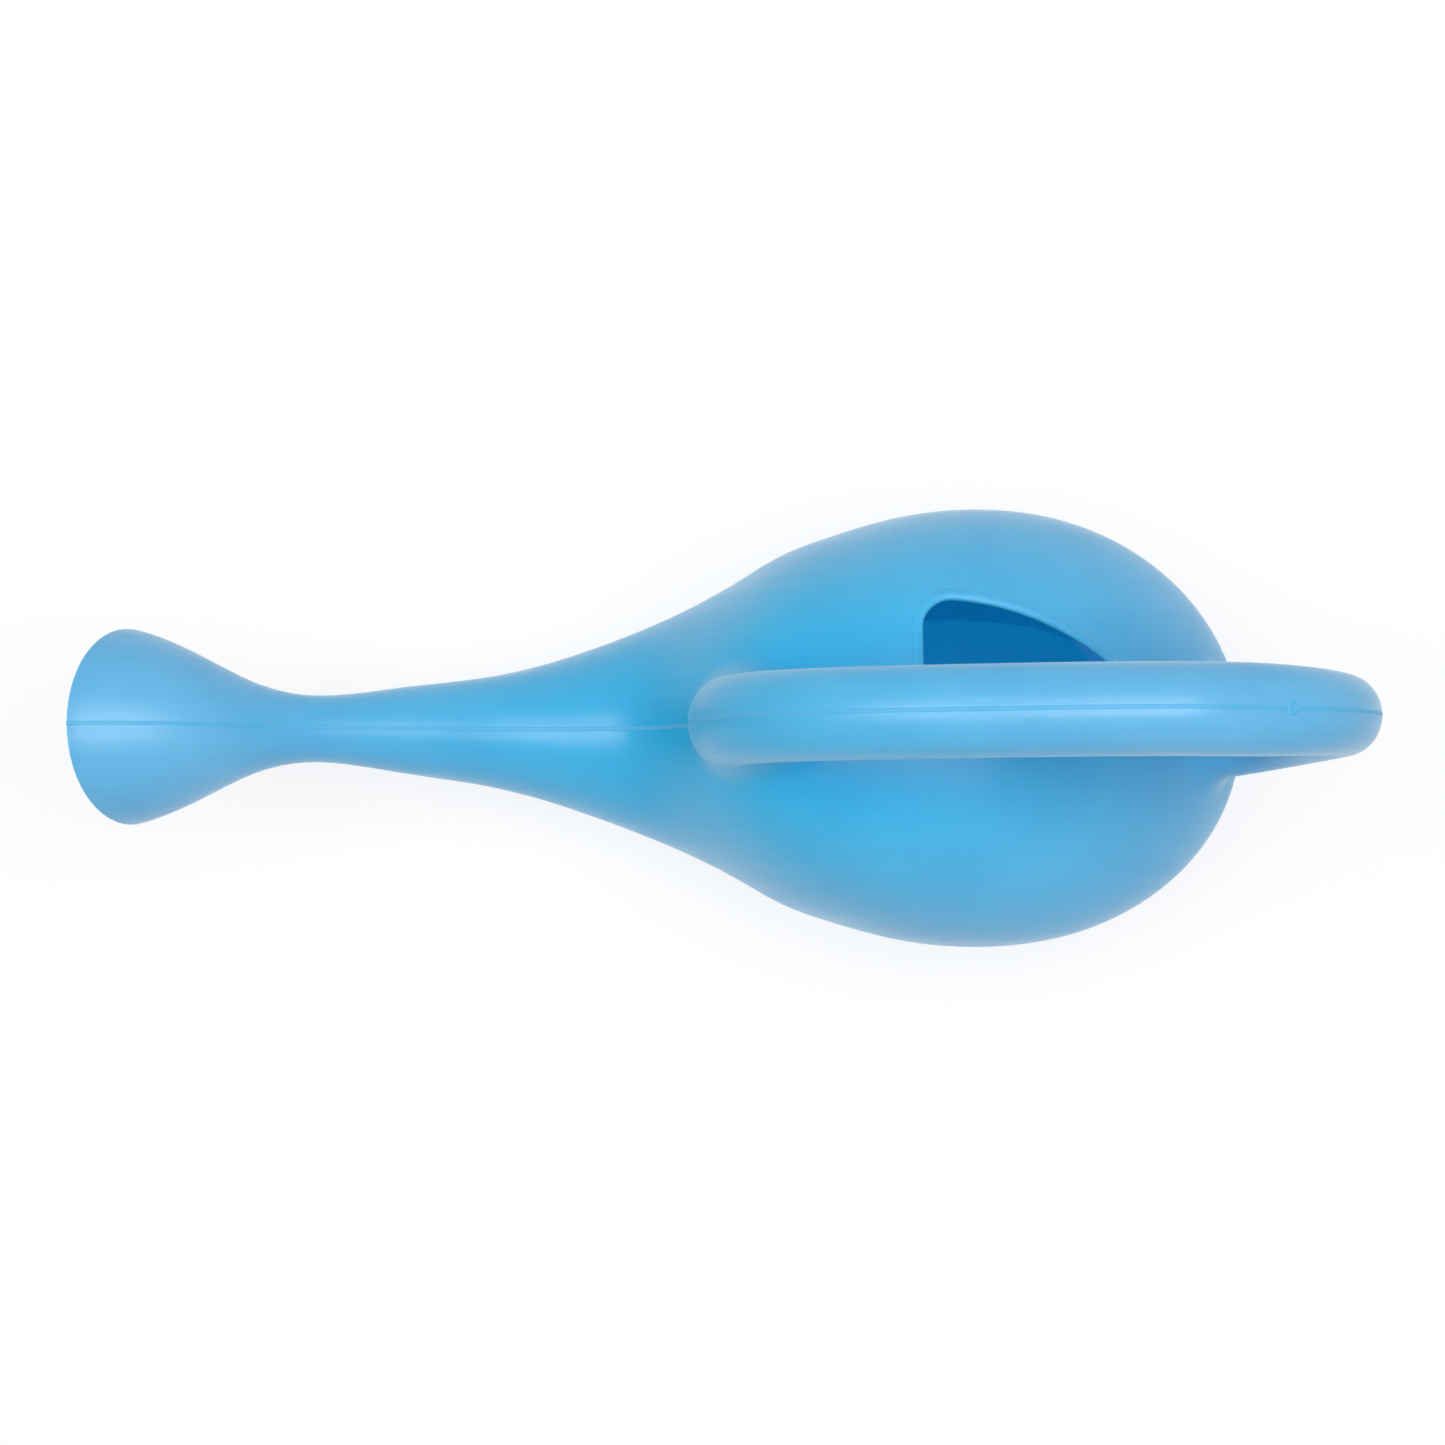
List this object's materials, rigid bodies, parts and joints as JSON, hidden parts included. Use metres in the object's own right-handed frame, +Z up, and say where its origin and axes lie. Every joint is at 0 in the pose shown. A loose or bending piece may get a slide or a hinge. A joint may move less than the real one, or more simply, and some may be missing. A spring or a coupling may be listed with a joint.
{
  "type": "watering can",
  "caption": "Small blow-moulded watering can with an egg-shaped tank, a horn spout that ends in a trumpet head with a sprinkler plate, a loop handle and a side fill opening.",
  "frame": {"origin": "middle of the can's length and width, on the floor", "axes": "+X from the spout towards the handle's rear end, +Y towards the side of the fill opening, +Z up"},
  "size_m": [0.3982, 0.1386, 0.195],
  "materials": {
    "blown_polyethylene": "satin, slightly translucent",
    "moulded_polyethylene": "satin"
  },
  "bodies": {
    "can": {"can_shell": "blown_polyethylene"},
    "rose": {"rose_plate": "moulded_polyethylene"}
  },
  "joints": [
    {"name": "rose_pull", "type": "slide", "parent": "can", "child": "rose", "axis": [-0.848, 0, -0.5299], "range_m": [0, 0.04]}
  ]
}
